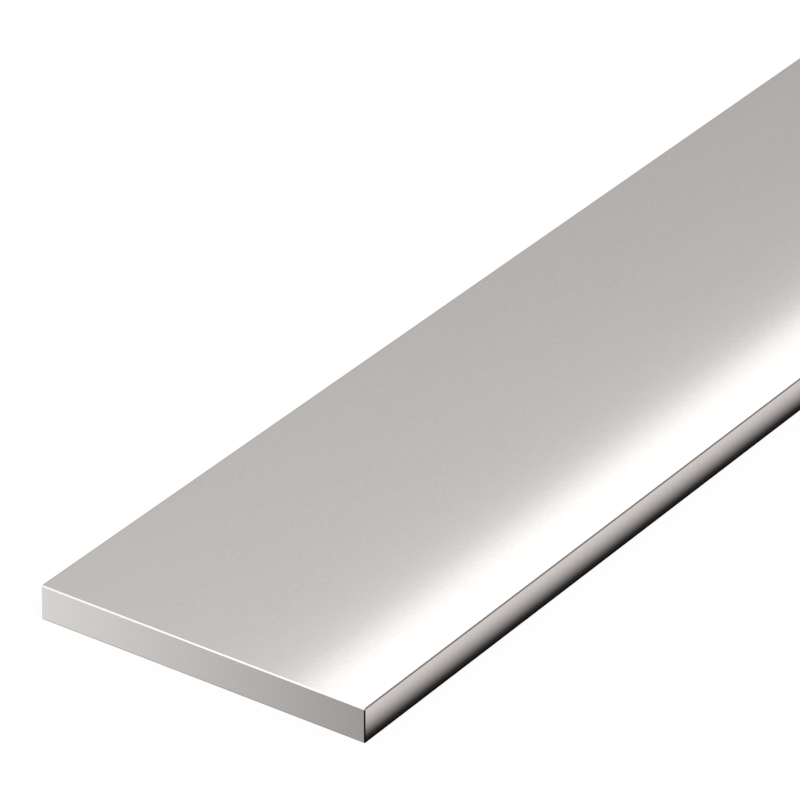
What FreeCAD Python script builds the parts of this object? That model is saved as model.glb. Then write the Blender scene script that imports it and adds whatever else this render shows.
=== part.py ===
"""Flat bar of bright drawn steel, lying on its broad face, as it is sold by the length.

The bar is one solid piece. Its section is drawn through a die, which leaves a small round on each of the
four long edges. The two ends are sawn square and then deburred with a 45 degree break on each side.

Frame, in millimetres: +X along the bar, +Y across it, +Z up. The origin is the centre of the bottom face.
"""

import FreeCAD, Part
import math
import os

from FreeCAD import Vector

# Stock size
BAR_WIDTH = 50.0
BAR_THICKNESS = 5.0
BAR_LENGTH = 1000.0

# Edges
DRAWN_EDGE_RADIUS = 0.2  # round that the die leaves on the long edges
SAWN_END_BREAK = 0.15  # leg of the 45 degree deburring round each end

SECTION_CENTRE = Vector(0, 0, BAR_THICKNESS / 2)
QUARTER_TURN = math.pi / 2


def corner_arc(quarter):
    """One rounded corner of the section, counted anticlockwise from the +Y +Z corner, looking along -X."""
    start = quarter * QUARTER_TURN
    middle = start + QUARTER_TURN / 2
    centre = SECTION_CENTRE + Vector(
        -BAR_LENGTH / 2,
        math.copysign(BAR_WIDTH / 2 - DRAWN_EDGE_RADIUS, math.cos(middle)),
        math.copysign(BAR_THICKNESS / 2 - DRAWN_EDGE_RADIUS, math.sin(middle)),
    )
    points = [
        centre + Vector(0, math.cos(angle), math.sin(angle)) * DRAWN_EDGE_RADIUS
        for angle in (start, middle, start + QUARTER_TURN)
    ]
    return Part.Arc(*points).toShape()


def drawn_section():
    """The die's opening: a rectangle with four rounded corners, in the plane of the bar's -X end."""
    arcs = [corner_arc(quarter) for quarter in range(4)]
    edges = []
    for arc, next_arc in zip(arcs, arcs[1:] + arcs[:1]):
        flat = Part.LineSegment(arc.lastVertex(True).Point, next_arc.firstVertex(True).Point)
        edges += [arc, flat.toShape()]
    return Part.Face(Part.Wire(edges))


def drawn_bar():
    """The section drawn out to the sold length, with plain square ends."""
    return drawn_section().extrude(Vector(BAR_LENGTH, 0, 0))


def end_break(end, side, half_height, edge_run):
    """The sliver that deburring takes off one edge of an end.

    end points out of the sawn end, side out of the face that meets it there, at half_height from the
    section's centre. The edge between them is edge_run long. The sliver is a triangular prism, and it stands
    clear of the bar by one break all round, so that no two faces coincide.
    """
    clear = SAWN_END_BREAK
    along_edge = end.cross(side)
    corner = SECTION_CENTRE + end * (BAR_LENGTH / 2) + side * half_height
    start = corner - along_edge * (edge_run / 2 + clear)
    outline = [
        start + end * clear + side * clear,
        start - end * (SAWN_END_BREAK + clear) + side * clear,
        start + end * clear - side * (SAWN_END_BREAK + clear),
    ]
    triangle = Part.Face(Part.makePolygon(outline + outline[:1]))
    return triangle.extrude(along_edge * (edge_run + 2 * clear))


def deburred(bar):
    """The bar with all eight edges of its two sawn ends broken."""
    slivers = []
    for end in (Vector(-1, 0, 0), Vector(1, 0, 0)):
        for outward in (-1, 1):
            slivers.append(end_break(end, Vector(0, 0, outward), BAR_THICKNESS / 2, BAR_WIDTH))
            slivers.append(end_break(end, Vector(0, outward, 0), BAR_WIDTH / 2, BAR_THICKNESS))
    return bar.cut(slivers)


def main():
    flat_bar = deburred(drawn_bar()).Solids[0]
    os.makedirs("parts", exist_ok=True)
    flat_bar.exportStep("parts/flat_bar.step")
    box = flat_bar.BoundBox
    print(f"flat_bar: {box.XLength:.2f} x {box.YLength:.2f} x {box.ZLength:.2f} mm")
    print(f"  {len(flat_bar.Faces)} faces, volume {flat_bar.Volume / 1000:.2f} cm3, valid {flat_bar.isValid()}")


main()
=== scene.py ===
import math

import bpy
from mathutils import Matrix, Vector


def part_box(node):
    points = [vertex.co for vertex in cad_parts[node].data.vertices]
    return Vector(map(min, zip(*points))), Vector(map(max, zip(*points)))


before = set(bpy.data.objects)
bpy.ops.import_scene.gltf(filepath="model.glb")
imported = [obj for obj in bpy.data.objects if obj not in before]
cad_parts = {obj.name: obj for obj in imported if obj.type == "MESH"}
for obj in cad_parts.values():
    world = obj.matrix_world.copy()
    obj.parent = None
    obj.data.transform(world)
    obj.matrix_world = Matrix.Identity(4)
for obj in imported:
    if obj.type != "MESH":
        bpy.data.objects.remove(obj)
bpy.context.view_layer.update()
bpy.ops.object.select_all(action="DESELECT")


# The flat bar. One piece of bright drawn steel: the die leaves a smooth satin skin with hair-fine lines
# along it, and painted shade darkens the small rounds of its long edges into dark lines. The ends are
# sawn square, ground smooth across the width and deburred, with a painted highlight along each end's top
# break.

MM = 0.001
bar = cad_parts["flat_bar"]
bar_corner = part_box("flat_bar")[1]
HALF_LENGTH = bar_corner.x
HALF_WIDTH = bar_corner.y
THICKNESS = bar_corner.z

EDGE_ROUND = 0.2 * MM
END_BREAK = 0.15 * MM
GROUND_RUN = 1.1 * END_BREAK  # how far in from the end the ground metal reaches, just past the break


def linear(hex_colour):
    """An sRGB colour such as "#BEBAB7" as linear red, green, blue and alpha."""
    channels = [int(hex_colour[i : i + 2], 16) / 255 for i in (1, 3, 5)]
    return [c / 12.92 if c <= 0.04045 else ((c + 0.055) / 1.055) ** 2.4 for c in channels] + [1.0]


def add_node(tree, kind, options=None, inputs=None):
    """Adds a shader node. options are its own settings. inputs are its sockets, by name or number, and
    each gets a value, an output to link, or a node, which stands for its first output."""
    node = tree.nodes.new("ShaderNode" + kind)
    for name, value in (options or {}).items():
        setattr(node, name, value)
    for name, value in (inputs or {}).items():
        named = [socket for socket in node.inputs if socket.enabled and socket.name == name]
        socket = named[0] if named else node.inputs[name]
        if isinstance(value, bpy.types.Node):
            value = [output for output in value.outputs if output.enabled][0]
        if isinstance(value, bpy.types.NodeSocket):
            tree.links.new(value, socket)
        else:
            socket.default_value = value
    return node


def new_material(name):
    """An empty node material and its tree."""
    material = bpy.data.materials.new(name)
    material.use_nodes = True
    material.node_tree.nodes.clear()
    return material, material.node_tree


# Cold drawn steel is a bright warm grey metal. It mirrors softly, because its skin is finely matt.
steel, tree = new_material("bright_drawn_steel")
on_bar = add_node(tree, "TexCoord").outputs["Object"]
place = add_node(tree, "SeparateXYZ", {}, {"Vector": on_bar}).outputs

# Noise in cells of a size along, across and up, in mm. Real die lines are 0.05 to 0.1 mm apart and real
# grain is finer than 0.1 mm, and both are drawn coarser here, so that they show at all.
NOISE_LOW, NOISE_HIGH = 0.3, 0.7  # the middle band of the noise, stretched to 0 and 1
noise = {}
for name, cell, detail in (
    ("die_lines", (90, 0.4, 0.4), 3.0),
    ("satin_grain", (0.4, 0.4, 0.4), 2.0),
    ("mill_clouds", (70, 14, 14), 2.0),
    ("grinding_lines", (0.5, 12, 0.3), 2.0),
):
    per_cell = [1 / (size * MM) for size in cell]
    cells = add_node(tree, "Mapping", {}, {"Vector": on_bar, "Scale": per_cell})
    pattern = add_node(tree, "TexNoise", {}, {"Vector": cells, "Scale": 1.0, "Detail": detail})
    noise[name] = add_node(
        tree, "MapRange", {}, {"Value": pattern, "From Min": NOISE_LOW, "From Max": NOISE_HIGH}
    )

# The ground ends, with their breaks: 1 there and 0 elsewhere
along = add_node(tree, "Math", {"operation": "ABSOLUTE"}, {0: place["X"]})
on_end = add_node(
    tree, "Math", {"operation": "GREATER_THAN"}, {0: along, 1: HALF_LENGTH - GROUND_RUN}
)

# The long break between each end and the top, coloured brightest as a painted highlight
on_top_break = add_node(
    tree, "Math", {"operation": "GREATER_THAN"}, {0: place["Z"], 1: THICKNESS - END_BREAK}
)

# The rounds: 0 on the flats, and rising to 1 across each long edge's round
EDGE_SHADE_REACH = 1.7
across = add_node(tree, "Math", {"operation": "ABSOLUTE"}, {0: place["Y"]})
above_middle = add_node(tree, "Math", {"operation": "SUBTRACT"}, {0: place["Z"], 1: THICKNESS / 2})
from_middle = add_node(tree, "Math", {"operation": "ABSOLUTE"}, {0: above_middle})
off_top = add_node(
    tree,
    "MapRange",
    {},
    {"Value": across, "From Min": HALF_WIDTH - EDGE_ROUND, "From Max": HALF_WIDTH},
)
off_side = add_node(
    tree,
    "MapRange",
    {},
    {"Value": from_middle, "From Min": THICKNESS / 2 - EDGE_ROUND, "From Max": THICKNESS / 2},
)
on_round = add_node(tree, "Math", {"operation": "MULTIPLY"}, {0: off_top, 1: off_side})
# Painted shade: how far across each round its colour is darkened, drawing the long edges as dark lines
painted_edge_shade = add_node(tree, "Math", {"operation": "MULTIPLY"}, {0: on_round, 1: EDGE_SHADE_REACH})

# The colour: grain and faint clouds on the drawn skin, painted shade on its rounds, and plain ground
# ends with a painted highlight on their top break
CLOUD_STRENGTH = 0.55
grained = add_node(
    tree,
    "Mix",
    {"data_type": "RGBA"},
    {"Factor": noise["satin_grain"], "A": linear("#BEBAB7"), "B": linear("#C3BFBC")},
)
clouds = add_node(
    tree, "Math", {"operation": "MULTIPLY"}, {0: noise["mill_clouds"], 1: CLOUD_STRENGTH}
)
drawn = add_node(
    tree, "Mix", {"data_type": "RGBA"}, {"Factor": clouds, "A": grained, "B": linear("#C4C0BC")}
)
# Painted shade on the long edges' rounds: the skin's colour is darkened towards #6A6663 there
edge_shaded_skin = add_node(
    tree, "Mix", {"data_type": "RGBA"}, {"Factor": painted_edge_shade, "A": drawn, "B": linear("#6A6663")}
)
ground = add_node(
    tree,
    "Mix",
    {"data_type": "RGBA"},
    {"Factor": noise["grinding_lines"], "A": linear("#C1BDBA"), "B": linear("#C3BFBC")},
)
# Painted highlight: the top break of each end is coloured near white, drawing a bright line along it
ends_with_painted_highlight = add_node(
    tree, "Mix", {"data_type": "RGBA"}, {"Factor": on_top_break, "A": ground, "B": linear("#F7F4F1")}
)
colour = add_node(
    tree, "Mix", {"data_type": "RGBA"}, {"Factor": on_end, "A": edge_shaded_skin, "B": ends_with_painted_highlight}
)

# The gloss: the skin varies a little between the die lines, the ground ends are slightly duller, and the
# filed break is much duller
SMOOTHEST_SKIN, DULLEST_SKIN = 0.109, 0.118
GROUND_ROUGHNESS = 0.15
FILED_ROUGHNESS = 0.4
skin = add_node(
    tree, "MapRange", {}, {"Value": noise["die_lines"], "To Min": SMOOTHEST_SKIN, "To Max": DULLEST_SKIN}
)
ends = add_node(
    tree,
    "Mix",
    {"data_type": "FLOAT"},
    {"Factor": on_top_break, "A": GROUND_ROUGHNESS, "B": FILED_ROUGHNESS},
)
roughness = add_node(tree, "Mix", {"data_type": "FLOAT"}, {"Factor": on_end, "A": skin, "B": ends})

# The relief: shares of the grain's own height, which is under a thousandth of a millimetre
GRAIN_HEIGHT = 0.0004 * MM
LINE_SHARE = 0.1
GRINDING_SHARE = 0.15
lines = add_node(tree, "Math", {"operation": "MULTIPLY"}, {0: noise["die_lines"], 1: LINE_SHARE})
drawn_relief = add_node(tree, "Math", {"operation": "ADD"}, {0: lines, 1: noise["satin_grain"]})
ground_relief = add_node(
    tree, "Math", {"operation": "MULTIPLY"}, {0: noise["grinding_lines"], 1: GRINDING_SHARE}
)
height = add_node(
    tree, "Mix", {"data_type": "FLOAT"}, {"Factor": on_end, "A": drawn_relief, "B": ground_relief}
)
relief = add_node(
    tree, "Bump", {}, {"Strength": 1.0, "Distance": GRAIN_HEIGHT, "Height": height}
)

metal = add_node(
    tree,
    "BsdfPrincipled",
    {},
    {"Base Color": colour, "Metallic": 1.0, "Roughness": roughness, "Normal": relief},
)
add_node(tree, "OutputMaterial", {}, {"Surface": metal})
bar.material_slots[0].material = steel


# The table. A plain white sheet, far larger than the bar. It is as bright as the white background to the
# camera and in the steel, keeps the bar's soft shadow, and is black in the crack where the two touch.

TABLE_SIZE = 40.0
SIDE_CRACK = 0.08 * MM  # how far in under the bar's sides the camera still sees white
END_CRACK = 0.12 * MM  # the same under its ends

bpy.ops.mesh.primitive_plane_add(size=TABLE_SIZE, location=(0, 0, 0))
table = bpy.context.object
table.name = "table"

# White card under soft light. Its paint is grey enough to keep a shadow faint, and its own glow makes up
# the rest of the white. Under the bar it has no glow.
TABLE_GLOW = 0.85
paper, tree = new_material("white_table_sheet")
ray = add_node(tree, "LightPath").outputs
in_metal = add_node(
    tree, "Math", {"operation": "MAXIMUM"}, {0: ray["Is Glossy Ray"], 1: ray["Is Transmission Ray"]}
)
seen = add_node(tree, "Math", {"operation": "MAXIMUM"}, {0: ray["Is Camera Ray"], 1: in_metal})
on_table = add_node(tree, "TexCoord").outputs["Object"]
from_centre = add_node(tree, "VectorMath", {"operation": "ABSOLUTE"}, {0: on_table})
spread = add_node(tree, "SeparateXYZ", {}, {"Vector": from_centre}).outputs
end_line = add_node(
    tree,
    "Math",
    {"operation": "MULTIPLY_ADD"},
    {0: ray["Is Camera Ray"], 1: -END_CRACK, 2: HALF_LENGTH},
)
side_line = add_node(
    tree,
    "Math",
    {"operation": "MULTIPLY_ADD"},
    {0: ray["Is Camera Ray"], 1: -SIDE_CRACK, 2: HALF_WIDTH},
)
past_end = add_node(tree, "Math", {"operation": "GREATER_THAN"}, {0: spread["X"], 1: end_line})
past_side = add_node(tree, "Math", {"operation": "GREATER_THAN"}, {0: spread["Y"], 1: side_line})
in_the_open = add_node(tree, "Math", {"operation": "MAXIMUM"}, {0: past_end, 1: past_side})
seen_open = add_node(tree, "Math", {"operation": "MULTIPLY"}, {0: seen, 1: in_the_open})
glowing = add_node(tree, "Math", {"operation": "MULTIPLY"}, {0: seen_open, 1: TABLE_GLOW})
paint = add_node(tree, "BsdfDiffuse", {}, {"Color": linear("#6E6E6E")})
shine = add_node(tree, "Emission", {}, {"Strength": glowing})
sheet = add_node(tree, "AddShader", {}, {0: paint, 1: shine})
add_node(tree, "OutputMaterial", {}, {"Surface": sheet})
table.data.materials.append(paper)


# The camera. A long lens close above the bar's near right corner, with the horizon level. It is aimed
# at a point on the table beside the bar's middle line.

LENS = 300.0
SENSOR = 36.0
AZIMUTH = -54.745
ELEVATION = 29.98
DISTANCE = 887.7 * MM
AIM = Vector((71.15 * MM - HALF_LENGTH, 20.04 * MM, 0))
NEAREST_SEEN = 10 * MM
FARTHEST_SEEN = 100.0

camera = bpy.data.objects.new("camera", bpy.data.cameras.new("camera"))
bpy.context.scene.collection.objects.link(camera)
camera.data.lens = LENS
camera.data.sensor_width = SENSOR
camera.data.clip_start = NEAREST_SEEN
camera.data.clip_end = FARTHEST_SEEN
turn, tilt = math.radians(AZIMUTH), math.radians(ELEVATION)
backwards = Vector((math.sin(turn) * math.cos(tilt), -math.cos(turn) * math.cos(tilt), math.sin(tilt)))
camera.location = AIM + backwards * DISTANCE
camera.rotation_euler = backwards.to_track_quat("Z", "Y").to_euler()
bpy.context.scene.camera = camera


# Reflection cards. As in a studio, steel is shaped by what it mirrors: strip lights beside the bar, and
# graded sheets on the table round it. Each stands twice, the second turned half round, so that the bar
# looks alike from both sides. They show in the steel alone, and cast no light or shadow.


def spot(way, x, y, z):
    """A place x in from the near end. With way -1 it is turned half round the bar's middle."""
    return Vector((way * (x - HALF_LENGTH), way * y, z))


def card(name, corner, opposite):
    """A level or upright glowing card between two opposite corners.

    Returns its material's tree, the coordinates on it and its glow.
    """
    size = [abs(a - b) for a, b in zip(corner, opposite)]
    upright = size[2] > 0
    bpy.ops.mesh.primitive_plane_add(
        size=1,
        location=(corner + opposite) / 2,
        rotation=(math.radians(90) if upright else 0, 0, 0),
    )
    made = bpy.context.object
    made.name = name
    made.scale = (size[0], size[2] if upright else size[1], 1)
    bpy.ops.object.transform_apply(location=True, rotation=True, scale=True)
    made.visible_camera = False
    made.visible_diffuse = False
    made.visible_shadow = False
    made.visible_transmission = False
    # What the steel mirrors: a plain glow, whose strength is set or graded where the card is made
    material, tree = new_material(name + "_glow")
    made.data.materials.append(material)
    glow = add_node(tree, "Emission")
    add_node(tree, "OutputMaterial", {}, {"Surface": glow})
    return tree, add_node(tree, "TexCoord").outputs["Object"], glow


LENGTH = 2 * HALF_LENGTH
CARD_HEIGHT = 0.02 * MM

# The long strip light hangs upright beside the bar, and reaches down to where the camera sees its lower
# edge mirrored in the top face
LIGHT_BRIGHTNESS = 2.3
LIGHT_SIDE = 80 * MM
LIGHT_DEPTH = 29 * MM
LIGHT_OVERHANG = 500 * MM
HIGHLIGHT_EDGE = -16.17 * MM
steepness = (camera.location.z - THICKNESS) / (HIGHLIGHT_EDGE - camera.location.y)
light_low = THICKNESS + (LIGHT_SIDE - HIGHLIGHT_EDGE) * steepness

# The strips along the sides are blackest in the crack where the bar meets the table, black a little
# further out, and light a few millimetres away. Their black inner band is painted shade, standing in for
# the table's shadow beside the bar, which the side faces mirror
STRIP_WIDTH = 20 * MM
CRACK_INNER = 0.2 * MM
CRACK_OUTER = 0.5 * MM
STRIP_BLACK = 0.68 * MM
STRIP_LIGHT = 4.5 * MM
STRIP_EASE = 0.7
STRIP_DARKEST = 0.034
STRIP_BRIGHTEST = 1.15

# The sheets off the ends are graded across the width, along the way that the camera looks
SHEET_LENGTH = 25 * MM
SHEET_SPARE = 10 * MM
SHEET_SLANT = 0.7
SHEET_DARKEST = 0.61
SHEET_BRIGHTEST = 1.25

# Small black patches off the corners draw the upright edges as dark lines
CORNER_PATCH = 8 * MM

for side, way in (("right", 1), ("left", -1)):
    tree, on_card, glow = card(
        side + "_strip_light",
        spot(way, -LIGHT_OVERHANG, LIGHT_SIDE, light_low),
        spot(way, LENGTH + LIGHT_OVERHANG, LIGHT_SIDE, light_low + LIGHT_DEPTH),
    )
    glow.inputs["Color"].default_value = linear("#FCFDFF")
    glow.inputs["Strength"].default_value = LIGHT_BRIGHTNESS

    tree, on_card, glow = card(
        side + "_strip",
        spot(way, 0, -HALF_WIDTH - STRIP_WIDTH, CARD_HEIGHT),
        spot(way, LENGTH, -HALF_WIDTH, CARD_HEIGHT),
    )
    outwards = add_node(
        tree, "VectorMath", {"operation": "DOT_PRODUCT"}, {0: on_card, 1: (0, -way, 0)}
    )
    ramp = add_node(
        tree,
        "MapRange",
        {"interpolation_type": "SMOOTHSTEP"},
        {
            "Value": outwards,
            "From Min": HALF_WIDTH + STRIP_BLACK,
            "From Max": HALF_WIDTH + STRIP_LIGHT,
        },
    )
    eased = add_node(tree, "Math", {"operation": "POWER"}, {0: ramp, 1: STRIP_EASE})
    # Painted shade: little or no glow next to the bar, where the table's shadow would lie
    painted_crack_shade = add_node(
        tree,
        "MapRange",
        {},
        {
            "Value": outwards,
            "From Min": HALF_WIDTH + CRACK_INNER,
            "From Max": HALF_WIDTH + CRACK_OUTER,
            "To Max": STRIP_DARKEST,
        },
    )
    grade = add_node(
        tree, "Mix", {"data_type": "FLOAT"}, {"Factor": eased, "A": painted_crack_shade, "B": STRIP_BRIGHTEST}
    )
    glow.inputs["Color"].default_value = linear("#FFFCFC")
    tree.links.new(grade.outputs[0], glow.inputs["Strength"])

    tree, on_card, glow = card(
        side + "_end_sheet",
        spot(way, -SHEET_LENGTH, -HALF_WIDTH, CARD_HEIGHT),
        spot(way, 0, HALF_WIDTH + SHEET_SPARE, CARD_HEIGHT),
    )
    slanted = add_node(
        tree,
        "VectorMath",
        {"operation": "DOT_PRODUCT"},
        {0: on_card, 1: (way * SHEET_SLANT, way, 0)},
    )
    grade = add_node(
        tree,
        "MapRange",
        {},
        {
            "Value": slanted,
            "From Min": -HALF_WIDTH - SHEET_SLANT * HALF_LENGTH,
            "From Max": HALF_WIDTH - SHEET_SLANT * HALF_LENGTH,
            "To Min": SHEET_DARKEST,
            "To Max": SHEET_BRIGHTEST,
        },
    )
    tree.links.new(grade.outputs[0], glow.inputs["Strength"])

    tree, on_card, glow = card(
        side + "_corner_patch",
        spot(way, -CORNER_PATCH, -HALF_WIDTH - CORNER_PATCH, CARD_HEIGHT),
        spot(way, 0, -HALF_WIDTH, CARD_HEIGHT),
    )
    glow.inputs["Strength"].default_value = 0.0


# The light. An even white room, which the steel mirrors darker towards the floor and the side walls, and
# one very broad lamp over the camera's side, which leaves a faint soft shadow.

ROOM_LIGHT = 0.6
ROOM_TILT = math.radians(17)
DIM_CLIMB, BRIGHT_CLIMB = 0.228, 0.389  # between these climbs the mirrored room brightens
DIM_ROOM, BRIGHT_ROOM = 0.455, 1.146
LAMP_BREADTH = math.radians(50)
LAMP_LIGHT = 1.5
TOWARDS_LAMP = Vector((-0.45, -0.33, 0.83))

world = bpy.data.worlds.new("white_room")
bpy.context.scene.world = world
world.use_nodes = True
tree = world.node_tree
tree.nodes.clear()
direction = add_node(tree, "TexCoord").outputs["Generated"]
either_side = add_node(tree, "VectorMath", {"operation": "ABSOLUTE"}, {0: direction})
climb = add_node(
    tree,
    "VectorMath",
    {"operation": "DOT_PRODUCT"},
    {0: either_side, 1: (0, -math.sin(ROOM_TILT), math.cos(ROOM_TILT))},
)
in_steel = add_node(
    tree,
    "MapRange",
    {},
    {
        "Value": climb,
        "From Min": DIM_CLIMB,
        "From Max": BRIGHT_CLIMB,
        "To Min": DIM_ROOM,
        "To Max": BRIGHT_ROOM,
    },
)
ray = add_node(tree, "LightPath").outputs
room = add_node(
    tree, "Mix", {"data_type": "FLOAT"}, {"Factor": ray["Is Glossy Ray"], "A": ROOM_LIGHT, "B": in_steel}
)
straight = add_node(
    tree, "Math", {"operation": "MAXIMUM"}, {0: ray["Is Camera Ray"], 1: ray["Is Transmission Ray"]}
)
white_room = add_node(
    tree, "Mix", {"data_type": "FLOAT"}, {"Factor": straight, "A": room, "B": 1.0}
)
background = add_node(
    tree, "Background", {}, {"Color": linear("#FFFFFF"), "Strength": white_room}
)
add_node(tree, "OutputWorld", {}, {"Surface": background})

lamp = bpy.data.objects.new("broad_lamp", bpy.data.lights.new("broad_lamp", "SUN"))
bpy.context.scene.collection.objects.link(lamp)
lamp.data.angle = LAMP_BREADTH
lamp.data.energy = LAMP_LIGHT
lamp.rotation_euler = TOWARDS_LAMP.to_track_quat("Z", "Y").to_euler()
lamp.visible_glossy = False

bpy.context.scene.view_settings.view_transform = "Standard"
